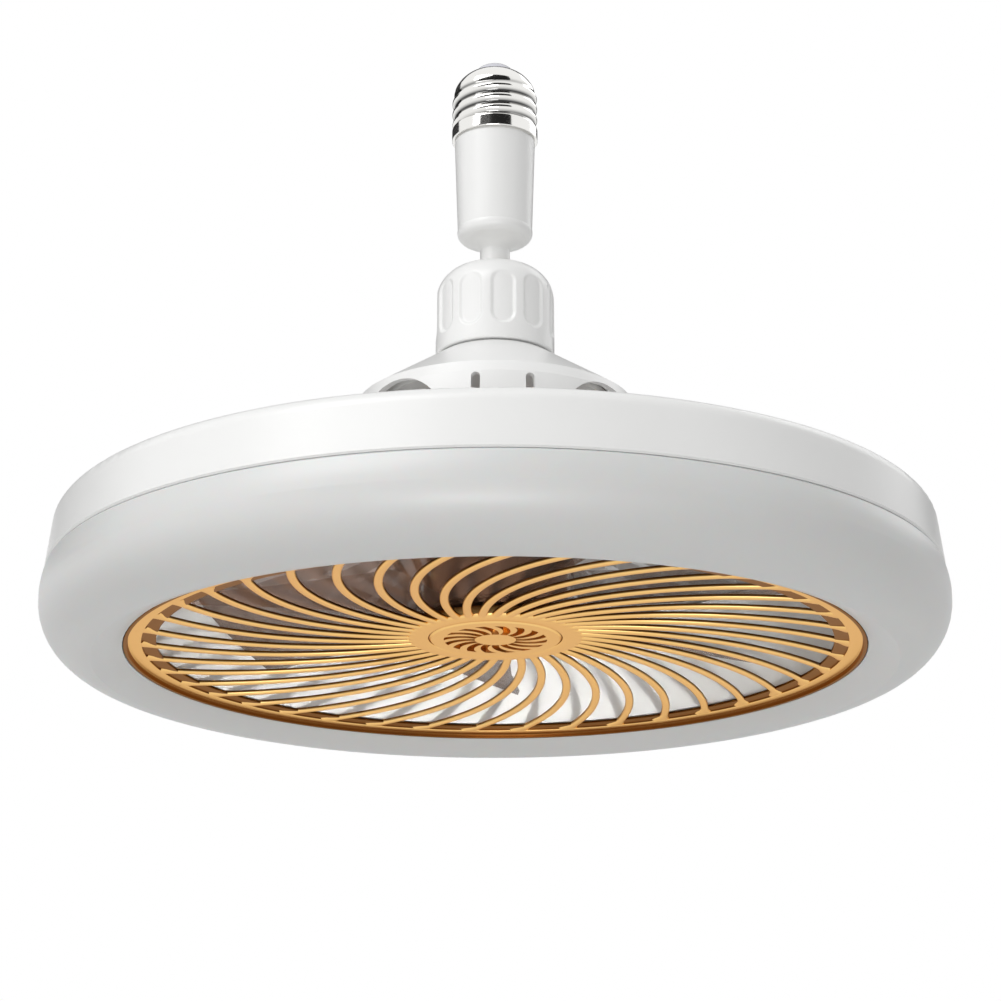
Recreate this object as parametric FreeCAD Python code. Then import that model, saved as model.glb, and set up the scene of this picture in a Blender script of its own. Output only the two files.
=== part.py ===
import FreeCAD
import Part
import math
import os

Vector = FreeCAD.Vector
up = Vector(0, 0, 1)
centre = Vector(0, 0, 0)

# E27 screw cap; z = 0 is the middle of its plain skirt
cap_thread_r = 13.1
cap_thread_depth = 0.85
cap_pitch = 3.63
cap_land = 4.0
cap_thread_length = 13.0
cap_shoulder_height = 5.8
cap_shoulder_r = 6.2
cap_wall = 0.6
insulator_height = 2.6
insulator_top_r = 2.6
contact_r = 2.2
contact_height = 1.2

# Adaptor body and neck
body_step = 0.65
body_taper = 1.0
body_length = 29.5
body_corner = 3.0
body_wall = 2.0
neck_cone = 3.6
neck_wall = 1.6
neck_length = 4.8
stem_wall = 0.8
stem_nut_wall = 2.1
stem_nut_height = 4.0

# Ball joint and clamp nut
ball_r = 8.0
seat_wall = 1.1
seat_gap = 0.08
lip_angle = 60.0
lip_height = 0.5
nut_height = 28.2
nut_shoulder = 18.1
nut_dome = 2.6
nut_wall = 5.25
nut_rib_width = 3.3
nut_groove_count = 11
nut_groove_depth = 0.7
nut_groove_start = 5.0
nut_groove_rise = 3.4
nut_gap = 0.5
nut_overhang = 1.0
spigot_wall = 3.14
thread_gap = 0.15
wire_bore_r = 4.6

# Turret
turret_base_r = 45.0
turret_waist_in = 2.5
turret_waist_drop = 19.0
turret_shoulder_in = 4.0
turret_shoulder_drop = 15.5
turret_height = 45.8
turret_wall = 2.2
flange_margin = 0.5
flange_thickness = 2.2
window_count = 4
window_width = 34.0
window_top_drop = 18.0
window_foot = 3.0
window_turn = 48.0
oval_width = 2.6
oval_height = 6.0
oval_drop = 19.5
oval_spread = 21.0
screw_r = 1.4
screw_head_r = 2.7
screw_head = 2.0
post_r = 3.0
post_height = 5.0
post_gap = 0.3

# Top cover
ring_width = 31.2
cover_hole_in = 3.2
cover_flat_margin = 4.0
cover_edge_in = 6.0
cover_edge_drop = 6.2
cover_corner_in = 1.6
cover_corner_drop = 10.4
cover_wall = 2.2
cover_rim_wall = 3.4
cover_height = 23.7
vent_count = 40
vent_width = 3.0
vent_margin = 4.0
vent_bar = 4.0
vent_end_in = 4.8

# Driver
lid_rise = 1.0
lid_thickness = 2.0
lid_gap = 0.4
lid_post_in = 11.8
board_gap = 1.8
board_thickness = 1.6
board_rise = 1.5
parts_in = 13.0
transformer_length = 11.0
transformer_width = 13.0
transformer_height = 4.4
capacitor_r = 2.3
capacitor_length = 9.0
lead_r = 0.7
lead_gap = 0.25
lead_clearance = 0.45
lead_hole_r = 2.6
lead_circle_r = 10.0

# LED tray, board and diffuser
tray_rise = 3.7
tray_thickness = 2.0
tray_gap = 0.3
duct_r = 98.8
duct_wall = 2.0
duct_top_gap = 0.9
duct_low_gap = 0.45
led_board_gap = 3.7
led_board_margin = 2.8
led_count = 72
led_length = 3.5
led_width = 2.8
led_height = 0.7
led_screw_count = 6
led_screw_gap = 0.6
led_screw_head = 1.6
boss_r = 3.2
seam_gap = 0.2
diffuser_wall = 2.0
diffuser_side = 8.4
diffuser_depth = 24.0
diffuser_bottom_in = 14.0
diffuser_swell = 1.3
diffuser_edge_rise = 4.1
diffuser_lip_wall = 1.9

# Grille
grille_hub_r = 25.5
grille_hub_rise = 5.3
grille_hub_thickness = 3.2
grille_rim_rise = 1.3
grille_collar_gap = 1.0
grille_collar_wall = 2.55
grille_collar_height = 6.5
grille_gap = 0.25
grille_lip = 3.6
grille_lip_width = 2.6
grille_lip_wall = 1.1
ledge_width = 4.2
ledge_rise = 0.5
ledge_thickness = 0.8
rib_count = 40
rib_width = 2.5
rib_depth = 1.4
rib_sweep = 32.0
rib_bow = 11.2
foot_length = 6.0
foot_spread = 2.5
hub_rim = 6.3
hub_cap_thickness = 1.5
hub_slot_count = 16
hub_slot_in = 6.0
hub_slot_margin = 4.2
hub_slot_width = 2.1

# Rotor and motor
fan_gap = 2.1
fan_hub_r = 23.0
fan_wall = 2.0
fan_hub_height = 17.4
blade_count = 7
blade_tip_gap = 2.8
blade_thickness = 1.6
blade_margin = 2.4
blade_root_pitch = 42.0
blade_tip_pitch = 20.0
shaft_r = 2.0
running_gap = 0.05
bearing_r = 4.5
bearing_length = 3.0
tube_wall = 1.6
air_gap = 0.4
magnet_wall = 1.9
rotor_ring_wall = 1.9
stator_height = 6.0
stator_poles = 9
winding_rise = 1.6
base_in = 1.0
base_thickness = 3.0
base_gap = 4.0
arm_count = 4
arm_width = 8.0
ear_thickness = 4.0

os.makedirs("parts", exist_ok=True)


def save(name, shape):
    shape.exportStep("parts/" + name + ".step")


def bowed(start, end, sag):
    """The corner at end, reached along an arc that bulges by sag to the left of the way there."""
    run = end[0] - start[0]
    rise = end[1] - start[1]
    length = math.hypot(run, rise)
    middle_r = (start[0] + end[0]) / 2 - sag * rise / length
    middle_z = (start[1] + end[1]) / 2 + sag * run / length
    return (end[0], end[1], middle_r, middle_z)


def turned(*corners):
    """A solid turned about the axis from (radius, height) corners."""
    edges = []
    here = corners[-1]
    for corner in corners:
        start = Vector(here[0], 0, here[1])
        end = Vector(corner[0], 0, corner[1])
        if len(corner) == 4:
            edges.append(Part.Arc(start, Vector(corner[2], 0, corner[3]), end).toShape())
        else:
            edges.append(Part.LineSegment(start, end).toShape())
        here = corner
    return Part.Face(Part.Wire(edges)).revolve(centre, up, 360)


def ring(inner, outer, low, high):
    return turned((inner, low), (outer, low), (outer, high), (inner, high))


def post(radius, low, high, x=0.0, y=0.0):
    return Part.makeCylinder(radius, high - low, Vector(x, y, low))


def block(x0, x1, width, z0, z1):
    return Part.makeBox(x1 - x0, width, z1 - z0, Vector(x0, -width / 2, z0))


def spun(shape, angle):
    copy = shape.copy()
    copy.rotate(centre, up, angle)
    return copy


def round_slot(x0, x1, width, low, high):
    """A slot that runs outwards along X, with round ends at its low and high."""
    slot = block(x0, x1, width, low + width / 2, high - width / 2)
    for height in (low + width / 2, high - width / 2):
        slot = slot.fuse(Part.makeCylinder(width / 2, x1 - x0, Vector(x0, 0, height), Vector(1, 0, 0)))
    return slot


def around(shape, count, start=0.0):
    return [spun(shape, start + 360.0 * step / count) for step in range(count)]


def sphere_point(radius, angle, height):
    """A point on a sphere round the ball's centre, by its angle from the upward axis."""
    turn = math.radians(angle)
    return (radius * math.sin(turn), height + radius * math.cos(turn))


def on_sphere(radius, first, last, height):
    end = sphere_point(radius, last, height)
    middle = sphere_point(radius, (first + last) / 2, height)
    return (end[0], end[1], middle[0], middle[1])


def lead(points, radius):
    """A round lead along straight runs joined by tangent arcs."""
    edges = []
    here = points[0]
    for before, corner, after in zip(points, points[1:], points[2:]):
        way_in = (corner - before).normalize()
        way_out = (after - corner).normalize()
        half_turn = math.acos(max(-1.0, min(1.0, way_in.dot(way_out)))) / 2
        setback = 0.4 * min(corner.distanceToPoint(before), after.distanceToPoint(corner))
        first = corner - way_in * setback
        last = corner + way_out * setback
        inward = (way_out - way_in).normalize()
        bend = setback / math.tan(half_turn)
        middle = corner + inward * (bend / math.cos(half_turn) - bend)
        edges.append(Part.LineSegment(here, first).toShape())
        edges.append(Part.Arc(first, middle, last).toShape())
        here = last
    edges.append(Part.LineSegment(here, points[-1]).toShape())
    way = points[1] - points[0]
    section = Part.Wire(Part.Circle(points[0], way, radius).toShape())
    return Part.Wire(edges).makePipeShell([section], True, False)


# Sizes that follow from those above, from the axis outwards
cap_root_r = cap_thread_r - cap_thread_depth
cap_bore_r = cap_root_r - cap_wall
body_top_r = cap_bore_r + body_step
body_low_r = body_top_r - body_taper
lead_step = lead_r + lead_gap
stem_bore_r = lead_step + lead_r + lead_clearance
stem_r = stem_bore_r + stem_wall
neck_r = stem_r + neck_wall
seat_in_r = ball_r + seat_gap
seat_out_r = seat_in_r + seat_wall
socket_r = seat_out_r + seat_gap
spigot_r = socket_r + spigot_wall
nut_bore_r = spigot_r + thread_gap
nut_r = nut_bore_r + nut_wall
turret_neck_r = nut_r - nut_overhang
turret_waist_r = turret_base_r - turret_waist_in
turret_shoulder_r = turret_base_r - turret_shoulder_in
screw_circle_r = turret_base_r + post_r + post_gap
flange_r = screw_circle_r + post_r + flange_margin
cover_hole_r = turret_base_r - cover_hole_in
cover_flat_r = flange_r + cover_flat_margin
vent_start_r = cover_flat_r + vent_margin
vent_end_r = duct_r - vent_end_in
duct_out_r = duct_r + duct_wall
grille_collar_r = duct_out_r + grille_collar_gap
collar_out_r = grille_collar_r + grille_collar_wall
diffuser_sleeve_r = collar_out_r + grille_gap
sleeve_out_r = diffuser_sleeve_r + diffuser_wall
diffuser_edge_r = diffuser_sleeve_r + grille_lip_width
disc_r = duct_r + ring_width
cover_edge_r = disc_r - cover_edge_in
cover_corner_r = disc_r - cover_corner_in
cover_inner_r = disc_r - cover_rim_wall
tray_r = cover_inner_r - tray_gap
diffuser_bottom_r = disc_r - diffuser_bottom_in
diffuser_lip_r = tray_r - diffuser_lip_wall
led_board_in = duct_out_r + led_board_gap
led_board_out = tray_r - led_board_margin
led_screw_circle_r = sleeve_out_r + led_screw_gap + screw_head_r
led_circle_r = (led_screw_circle_r + screw_head_r + led_board_out) / 2
hub_cap_r = grille_hub_r - hub_rim
hub_slot_out = hub_cap_r - hub_slot_margin
base_r = fan_hub_r - base_in
blade_height = fan_hub_height - blade_margin

# Levels from the cap down to the grille
cap_low = -cap_land / 2
land_top = cap_land / 2
thread_top = land_top + cap_thread_length
shoulder_top = thread_top + cap_shoulder_height
insulator_top = shoulder_top + insulator_height
cap_tip = insulator_top + contact_height
body_low = cap_low - body_length
cone_top = body_low - body_corner
neck_top = cone_top - neck_cone
neck_low = neck_top - neck_length
ball_z = neck_low - math.sqrt(ball_r ** 2 - neck_r ** 2)
lip_r, lip_z = sphere_point(socket_r, lip_angle, ball_z)
nut_top = lip_z + lip_height
nut_low = nut_top - nut_height
nut_ceiling = ball_z - seat_gap
spigot_top = nut_ceiling - nut_gap
turret_top = nut_low - nut_gap
flange_top = turret_top - turret_height
cover_top = flange_top - flange_thickness
cover_under = cover_top - cover_wall
cover_low = cover_top - cover_height
tray_low = cover_low + tray_rise - tray_thickness
tray_top = tray_low + tray_thickness
led_board_low = tray_low - board_thickness
diffuser_top = cover_low - seam_gap
diffuser_low = diffuser_top - diffuser_depth
grille_low = diffuser_low + diffuser_edge_rise
rim_low = grille_low + grille_rim_rise
hub_low = grille_low + grille_hub_rise
hub_top = hub_low + grille_hub_thickness
fan_low = hub_top + fan_gap
fan_top = fan_low + fan_hub_height
base_low = fan_top + base_gap
base_top = base_low + base_thickness
turret_ceiling = turret_top - turret_wall * 1.3
shoulder_z = turret_top - turret_shoulder_drop
lid_top = shoulder_z + lid_rise
lid_low = lid_top - lid_thickness
driver_low = lid_top + board_rise
driver_top = driver_low + board_thickness
cover_slope = cover_edge_drop / (cover_edge_r - cover_flat_r)
in_shoulder = (turret_shoulder_r - turret_wall * 0.4, shoulder_z - turret_wall)
cone_slope = (in_shoulder[0] - turret_neck_r) / (turret_ceiling - in_shoulder[1])
lid_r = turret_neck_r + cone_slope * (turret_ceiling - lid_top) - lid_gap
lid_post_circle_r = lid_r - lid_post_in
board_r = turret_neck_r + cone_slope * (turret_ceiling - driver_top) - board_gap
parts_circle_r = board_r - parts_in


# Screw cap
def make_cap_shell():
    crest = cap_thread_r - 0.05
    half = cap_pitch * 0.33
    inset = cap_thread_depth * 0.4
    helix = Part.makeHelix(cap_pitch, cap_thread_length + 1.0, cap_root_r)
    low = Vector(cap_root_r - inset, 0, -half)
    high = Vector(cap_root_r - inset, 0, half)
    bump = Part.Arc(low, Vector(crest, 0, 0), high).toShape()
    back = Part.LineSegment(high, low).toShape()
    ridge = Part.Wire(helix.Edges).makePipeShell([Part.Wire([bump, back])], True, True)
    ridge.translate(Vector(0, 0, cap_low + half + 0.2))
    core = Part.makeCylinder(cap_root_r, shoulder_top - cap_low, Vector(0, 0, cap_low))
    land = Part.makeCylinder(cap_thread_r, cap_land, Vector(0, 0, cap_low))
    body = core.fuse(land).fuse(ridge)
    shoulder = (cap_shoulder_r, shoulder_top)
    outside = turned(
        (0, cap_low), (cap_thread_r + 1.0, cap_low), (cap_thread_r + 1.0, thread_top - 3.5),
        (cap_root_r - 0.2, thread_top), bowed((cap_root_r - 0.2, thread_top), shoulder, -0.9),
        (0, shoulder_top))
    hollow = turned(
        (0, cap_low), (cap_bore_r, cap_low), (cap_bore_r, thread_top - cap_wall),
        (cap_shoulder_r, shoulder_top - cap_wall), (cap_shoulder_r, shoulder_top),
        (0, shoulder_top))
    return body.common(outside).cut(hollow)


save("cap_shell", make_cap_shell())

pin_r = contact_r * 0.4
insulator_low = shoulder_top - cap_wall - 1.5
save("cap_insulator", turned(
    (pin_r, insulator_low), (cap_shoulder_r - 1.0, insulator_low),
    (cap_shoulder_r, shoulder_top - cap_wall), (cap_shoulder_r, shoulder_top),
    bowed((cap_shoulder_r, shoulder_top), (insulator_top_r, insulator_top), -0.6),
    (pin_r, insulator_top)))
button_height = contact_height * 0.7
button_r = (contact_r ** 2 + button_height ** 2) / (2 * button_height)
button_middle = cap_tip - button_r + math.sqrt(button_r ** 2 - contact_r ** 2 / 4)
save("cap_contact", turned(
    (0, insulator_low), (pin_r, insulator_low), (pin_r, insulator_top), (contact_r, insulator_top),
    (contact_r, cap_tip - button_height), (0, cap_tip, contact_r / 2, button_middle)))

# Adaptor body with the neck, and the ball on its hollow stem
floor_top = cone_top - body_wall * 0.2
spigot_in_cap = cap_bore_r - 0.1
inside_r = body_low_r - body_wall
save("adaptor_body", turned(
    (stem_r, neck_low), (neck_r, neck_low), (neck_r, neck_top),
    bowed((neck_r, neck_top), (body_low_r - body_corner * 0.6, cone_top - 0.4), 0.7),
    bowed((body_low_r - body_corner * 0.6, cone_top - 0.4), (body_low_r, body_low), -0.8),
    (body_top_r, cap_low - 0.6), (body_top_r - 0.4, cap_low), (spigot_in_cap, cap_low),
    (spigot_in_cap, land_top + cap_thread_length * 0.6),
    (inside_r, land_top + cap_thread_length * 0.6), (inside_r, body_low),
    (inside_r - body_corner, floor_top), (stem_r, floor_top)))

stem_top = floor_top + stem_nut_height + 1.0
save("ball_stem", turned(
    (stem_bore_r, ball_z - math.sqrt(ball_r ** 2 - stem_bore_r ** 2)),
    (neck_r, neck_low, ball_r, ball_z), (stem_r, neck_low), (stem_r, stem_top),
    (stem_bore_r, stem_top)))
nut_across = (stem_r + stem_nut_wall) * 2 / math.sqrt(3)
hexagon = Part.makePolygon([
    Vector(nut_across * math.cos(math.radians(60 * side)),
           nut_across * math.sin(math.radians(60 * side)), floor_top) for side in range(7)])
stem_nut = Part.Face(Part.Wire(hexagon.Edges)).extrude(Vector(0, 0, stem_nut_height))
save("stem_nut", stem_nut.cut(post(stem_r, floor_top - 1, floor_top + stem_nut_height + 1)))

# Seat rings that the ball turns in
upper_first = lip_angle - 12
upper_last = lip_angle + 17
save("ball_seat_upper", turned(
    sphere_point(seat_in_r, upper_first, ball_z),
    on_sphere(seat_in_r, upper_first, upper_last, ball_z),
    sphere_point(seat_out_r, upper_last, ball_z),
    on_sphere(seat_out_r, upper_last, upper_first, ball_z)))
lower_first = upper_last + 23
lower_last = 140
save("ball_seat_lower", turned(
    sphere_point(seat_in_r, lower_first, ball_z),
    on_sphere(seat_in_r, lower_first, lower_last, ball_z),
    sphere_point(seat_out_r, lower_last, ball_z),
    on_sphere(seat_out_r, lower_last, lower_first, ball_z)))


# Clamp nut with grooves to grip
def make_clamp_nut():
    shoulder = (nut_r, nut_low + nut_shoulder)
    rim = (lip_r + lip_height, nut_top)
    ceiling_angle = 90 + math.degrees(math.asin((ball_z - nut_ceiling) / socket_r))
    nut = turned(
        (nut_bore_r, nut_low), (nut_r - 0.6, nut_low), (nut_r, nut_low + 0.6), shoulder,
        bowed(shoulder, rim, -nut_dome), (lip_r, lip_z),
        on_sphere(socket_r, lip_angle, ceiling_angle, ball_z), (nut_bore_r, nut_ceiling))
    groove_width = 2 * math.pi * nut_r / nut_groove_count - nut_rib_width
    groove = round_slot(nut_r - nut_groove_depth, nut_r + 1.0, groove_width,
                        nut_low + nut_groove_start, shoulder[1] + nut_groove_rise)
    return nut.cut(around(groove, nut_groove_count, 180.0 / nut_groove_count))


save("clamp_nut", make_clamp_nut())


# Turret
def make_turret():
    out_shoulder = (turret_shoulder_r, shoulder_z)
    out_waist = (turret_waist_r, turret_top - turret_waist_drop)
    in_waist = (turret_waist_r - turret_wall, out_waist[1])
    cup_low = ball_z - math.sqrt(socket_r ** 2 - wire_bore_r ** 2)
    cup_angle = 180 - math.degrees(math.asin(wire_bore_r / socket_r))
    rim_angle = math.degrees(math.acos((spigot_top - ball_z) / socket_r))
    rim_r = sphere_point(socket_r, rim_angle, ball_z)[0]
    body = turned(
        (rim_r, spigot_top), on_sphere(socket_r, rim_angle, cup_angle, ball_z),
        (wire_bore_r, turret_ceiling), (turret_neck_r, turret_ceiling), in_shoulder,
        in_waist, (turret_base_r - turret_wall, cover_top), (flange_r, cover_top),
        (flange_r, flange_top), (turret_base_r, flange_top), out_waist, out_shoulder,
        (turret_neck_r, turret_top), (spigot_r, turret_top), (spigot_r, spigot_top))
    tools = []
    arch_r = window_width / 2
    arch_z = turret_top - window_top_drop - arch_r
    foot = flange_top + window_foot
    cut_from = lid_post_circle_r + post_r + 1.0
    arch = Part.makeCylinder(arch_r, flange_r, Vector(cut_from, 0, arch_z), Vector(1, 0, 0))
    window = arch.common(block(0, 2 * flange_r, window_width, arch_z, turret_top))
    window = window.fuse(block(cut_from, cut_from + flange_r, window_width, foot, arch_z))
    tools.extend(around(window, window_count, window_turn))
    oval_top = turret_top - oval_drop
    oval = round_slot(cut_from, flange_r, oval_width, oval_top - oval_height, oval_top)
    for side in (-0.5, 0.5):
        start = window_turn + 180.0 / window_count + side * oval_spread
        tools.extend(around(oval, window_count, start))
    body = body.cut(tools)
    under_skin = turned(
        (0, lid_low), (turret_shoulder_r, lid_low), (turret_shoulder_r, shoulder_z - turret_wall / 2),
        (turret_neck_r, turret_top - turret_wall / 2), (0, turret_top - turret_wall / 2))
    lid_post = post(post_r, lid_top, turret_top, lid_post_circle_r).common(under_skin)
    lid_post = lid_post.cut(post(1.0, lid_top - 1, lid_top + 6, lid_post_circle_r))
    flange_post = post(post_r, flange_top - flange_thickness, flange_top + post_height,
                       screw_circle_r)
    body = body.fuse(around(lid_post, 3) + around(flange_post, arm_count))
    hole = post(screw_r + running_gap, cover_top - 1, flange_top + post_height - 1.5, screw_circle_r)
    return body.cut(around(hole, arm_count))


save("turret", make_turret())


# Top cover with its vents and the bosses for the LED screws
def cover_under_at(radius):
    return cover_under - cover_slope * max(0.0, radius - cover_flat_r)


def make_top_cover():
    edge = (cover_edge_r, cover_top - cover_edge_drop)
    corner = (cover_corner_r, cover_top - cover_corner_drop)
    in_corner = (cover_inner_r, corner[1] - cover_wall)
    in_edge = (cover_edge_r - cover_wall, edge[1] - cover_wall)
    cover = turned(
        (cover_hole_r, cover_under), (cover_flat_r, cover_under), in_edge,
        bowed(in_edge, in_corner, 0.8), (cover_inner_r, cover_low), (disc_r - 0.5, cover_low),
        (disc_r, cover_low + 0.5), corner, bowed(corner, edge, -1.1), (cover_flat_r, cover_top),
        (cover_hole_r, cover_top))
    middle_r = (vent_start_r + vent_end_r) / 2
    tools = []
    for first, last in ((vent_start_r, middle_r - vent_bar / 2),
                        (middle_r + vent_bar / 2, vent_end_r)):
        slot = block(first, last, vent_width, cover_low, cover_top + 1)
        tools.extend(around(slot, vent_count))
    hole = post(screw_r + running_gap, cover_under - 1, cover_top + 1, screw_circle_r)
    tools.extend(around(hole, arm_count))
    cover = cover.cut(tools)
    boss_top = cover_under_at(led_screw_circle_r + boss_r) + cover_wall * 0.7
    boss = post(boss_r, tray_top, boss_top, led_screw_circle_r)
    boss = boss.cut(post(screw_r + running_gap, tray_top - 1, tray_top + 8, led_screw_circle_r))
    return cover.fuse(around(boss, led_screw_count))


save("top_cover", make_top_cover())


def screw(tip, seat, radius, head_r, head_height):
    """A screw put in from below: its head sits under the seat height."""
    shank = post(radius, seat, tip)
    return shank.fuse(post(head_r, seat - head_height, seat))


def screws(count, circle_r, tip, seat, radius, head_r, head_height):
    one = screw(tip, seat, radius, head_r, head_height)
    one.translate(Vector(circle_r, 0, 0))
    return Part.makeCompound(around(one, count))


ear_low = cover_under - ear_thickness
save("turret_screws", screws(arm_count, screw_circle_r, flange_top + post_height - 2.0, ear_low,
                             screw_r, screw_head_r, screw_head))

# Driver on its lid, closed up in the top of the turret
lid_holes = around(post(1.0 + running_gap, lid_low - 1, lid_top + 1, lid_post_circle_r), 3)
lead_places = [0.0, 150.0]
lead_holes = [spun(post(lead_hole_r, lid_low - 1, lid_top + 1, lead_circle_r), angle)
              for angle in lead_places]
standoff_circle_r = board_r - 9.0
standoffs = around(post(2.0, lid_top, driver_low, standoff_circle_r), 3, 60)
lid = ring(wire_bore_r, lid_r, lid_low, lid_top).fuse(standoffs)
save("driver_lid", lid.cut(lid_holes + lead_holes))
save("lid_screws", screws(3, lid_post_circle_r, lid_top + 5.0, lid_low, 1.0, 2.0, 1.4))

board = ring(wire_bore_r + 1.0, board_r, driver_low, driver_top)
post_holes = around(post(post_r + 0.4, driver_low - 1, driver_top + 1, lid_post_circle_r), 3)
save("driver_board", board.cut(post_holes))


def on_board(length, width, height, radius, angle):
    box = Part.makeBox(length, width, height, Vector(radius - length / 2, -width / 2, driver_top))
    return spun(box, angle)


save("transformer", on_board(transformer_length, transformer_width, transformer_height,
                             parts_circle_r, 60))
capacitors = []
for angle in (165, 195):
    can_start = Vector(parts_circle_r - capacitor_length / 2, 0, driver_top + capacitor_r)
    can = Part.makeCylinder(capacitor_r, capacitor_length, can_start, Vector(1, 0, 0))
    capacitors.append(spun(can, angle))
save("capacitors", Part.makeCompound(capacitors))
chips = [on_board(6.0, 9.0, 1.8, parts_circle_r, 300), on_board(4.0, 5.0, 1.6, parts_circle_r, 15),
         on_board(4.0, 5.0, 1.6, parts_circle_r, 105), on_board(8.0, 4.0, 3.4, parts_circle_r, 270)]
save("driver_chips", Part.makeCompound(chips))

# Motor hung under the turret
tube_in_r = bearing_r + running_gap
tube_r = tube_in_r + tube_wall
hub_inside = fan_low + fan_wall
boss_top = hub_inside + 1.8
tube_low = boss_top + 0.6
lower_bearing = tube_low + 0.4
upper_bearing = base_low - bearing_length - 1.0


def make_motor_base():
    disc = ring(tube_in_r, base_r, base_low, base_top)
    tube = ring(tube_in_r, tube_r, tube_low, base_low)
    ear_in = cover_hole_r + 2.5
    ear_out = flange_r
    ear_bottom = cover_under - ear_thickness
    outline = [(base_r - 4, base_low), (ear_in - 6, base_low), (ear_in, ear_bottom),
               (ear_out, ear_bottom), (ear_out, cover_under), (ear_in - 2, cover_under),
               (ear_in - 8, base_top), (base_r - 4, base_top)]
    points = [Vector(x, -arm_width / 2, z) for x, z in outline]
    arm = Part.Face(Part.makePolygon(points + points[:1])).extrude(Vector(0, arm_width, 0))
    base = disc.fuse([tube] + around(arm, arm_count))
    hole = post(screw_r + running_gap, ear_bottom - 1, cover_under + 1, screw_circle_r)
    return base.cut(around(hole, arm_count))


save("motor_base", make_motor_base())

ring_out_r = fan_hub_r - fan_wall - running_gap
magnet_out_r = ring_out_r - rotor_ring_wall - running_gap
magnet_in_r = magnet_out_r - magnet_wall
stator_r = magnet_in_r - air_gap
stator_low = (tube_low + base_low - stator_height) / 2
stator_top = stator_low + stator_height
core_in_r = tube_r + running_gap
core_back_r = core_in_r + 2.5
tip_depth = 1.5
pole_width = 2.6


def make_stator():
    back = ring(core_in_r, core_back_r, stator_low, stator_top)
    pole = block(core_back_r - 0.5, stator_r - 0.4, pole_width, stator_low, stator_top)
    tip = ring(stator_r - tip_depth, stator_r, stator_low, stator_top)
    slot = block(stator_r - 3, stator_r + 3, 1.8, stator_low - 1, stator_top + 1)
    tips = tip.cut(around(slot, stator_poles, 180.0 / stator_poles))
    return back.fuse(around(pole, stator_poles) + tips.Solids).removeSplitter()


save("stator_core", make_stator())

coil_in_r = core_back_r + 0.4
coil_out_r = stator_r - tip_depth - 0.3
coil = block(coil_in_r, coil_out_r, pole_width + 2 * winding_rise * 0.45,
             stator_low - winding_rise, stator_top + winding_rise)
coil = coil.cut(block(coil_in_r - 1, coil_out_r + 1, pole_width + 2 * running_gap,
                      stator_low - running_gap, stator_top + running_gap))
save("stator_windings", Part.makeCompound(around(coil, stator_poles)))

for name, low in (("bearing_lower", lower_bearing), ("bearing_upper", upper_bearing)):
    save(name, ring(shaft_r + running_gap, bearing_r, low, low + bearing_length))

# Rotor: the fan, its steel ring and magnet, and the shaft
shaft_low = fan_low + 0.6
shaft_top = base_low + 2.0
save("motor_shaft", post(shaft_r, shaft_low, shaft_top))
clip_low = upper_bearing + bearing_length + 0.4
save("shaft_clip", ring(shaft_r + 0.02, bearing_r - 0.6, clip_low, clip_low + 0.8))
save("rotor_ring", ring(ring_out_r - rotor_ring_wall, ring_out_r, hub_inside, fan_top - 1.5))
save("magnet_ring", ring(magnet_in_r, magnet_out_r, stator_low - 1.5, stator_top + 1.5))


def make_fan():
    tip_r = duct_r - blade_tip_gap
    middle_z = fan_low + 2.0 + blade_height / 2
    hub = turned(
        (0, fan_low), (fan_hub_r - 2.0, fan_low), (fan_hub_r, fan_low + 2.0), (fan_hub_r, fan_top),
        (fan_hub_r - fan_wall, fan_top), (fan_hub_r - fan_wall, hub_inside), (5.0, hub_inside),
        (5.0, boss_top), (0, boss_top))
    hub = hub.cut(post(shaft_r + 0.01, shaft_low, fan_top))
    sections = []
    stations = 4
    for station in range(stations):
        share = station / (stations - 1)
        radius = fan_hub_r - 3.0 + share * (tip_r + 1.0 - fan_hub_r + 3.0)
        pitch = math.radians(blade_root_pitch + share * (blade_tip_pitch - blade_root_pitch))
        chord = blade_height / math.sin(pitch)
        along = Vector(0, math.cos(pitch), math.sin(pitch)) * (chord / 2)
        across = Vector(0, -math.sin(pitch), math.cos(pitch)) * (blade_thickness / 2)
        middle = Vector(radius, -10.0 * share, middle_z)
        corners = [middle - along - across, middle + along - across,
                   middle + along + across, middle - along + across]
        sections.append(Part.makePolygon(corners + corners[:1]))
    blade = Part.makeLoft(sections, True, True)
    blade = blade.common(ring(fan_hub_r - fan_wall / 2, tip_r, fan_low, fan_top + 5))
    return hub.fuse(around(blade, blade_count))


save("fan", make_fan())

# LED tray with the duct, LED board and diffuser
duct_top = cover_under_at(duct_r) - duct_top_gap
duct_low = rim_low + rib_depth + duct_low_gap
tray = turned(
    (duct_r, duct_low), (duct_out_r, duct_low), (duct_out_r, tray_low), (tray_r, tray_low),
    (tray_r, tray_top), (duct_out_r, tray_top), (duct_out_r, duct_top), (duct_r, duct_top))
screw_hole = post(screw_r + running_gap, led_board_low - 1, tray_top + 1, led_screw_circle_r)
notch = block(duct_r - 5, duct_out_r + 5, 6.0, duct_top - 4.0, duct_top + 1)
led_lead_r = led_board_in + 2.5
lead_pass = block(led_lead_r - 1.2, led_lead_r + 1.2, 5.0, tray_low - 1, tray_top + 1)
lead_tools = [spun(notch, lead_places[1]), spun(lead_pass, lead_places[1])]
save("led_tray", tray.cut(around(screw_hole, led_screw_count) + lead_tools))
led_board = ring(led_board_in, led_board_out, led_board_low, tray_low)
save("led_board", led_board.cut(around(screw_hole, led_screw_count)))
save("led_screws", screws(led_screw_count, led_screw_circle_r, tray_top + 6.0, led_board_low,
                          screw_r, screw_head_r, led_screw_head))
chip = block(led_circle_r - led_width / 2, led_circle_r + led_width / 2, led_length,
             led_board_low - led_height, led_board_low)
save("led_chips", Part.makeCompound(around(chip, led_count)))


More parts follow.
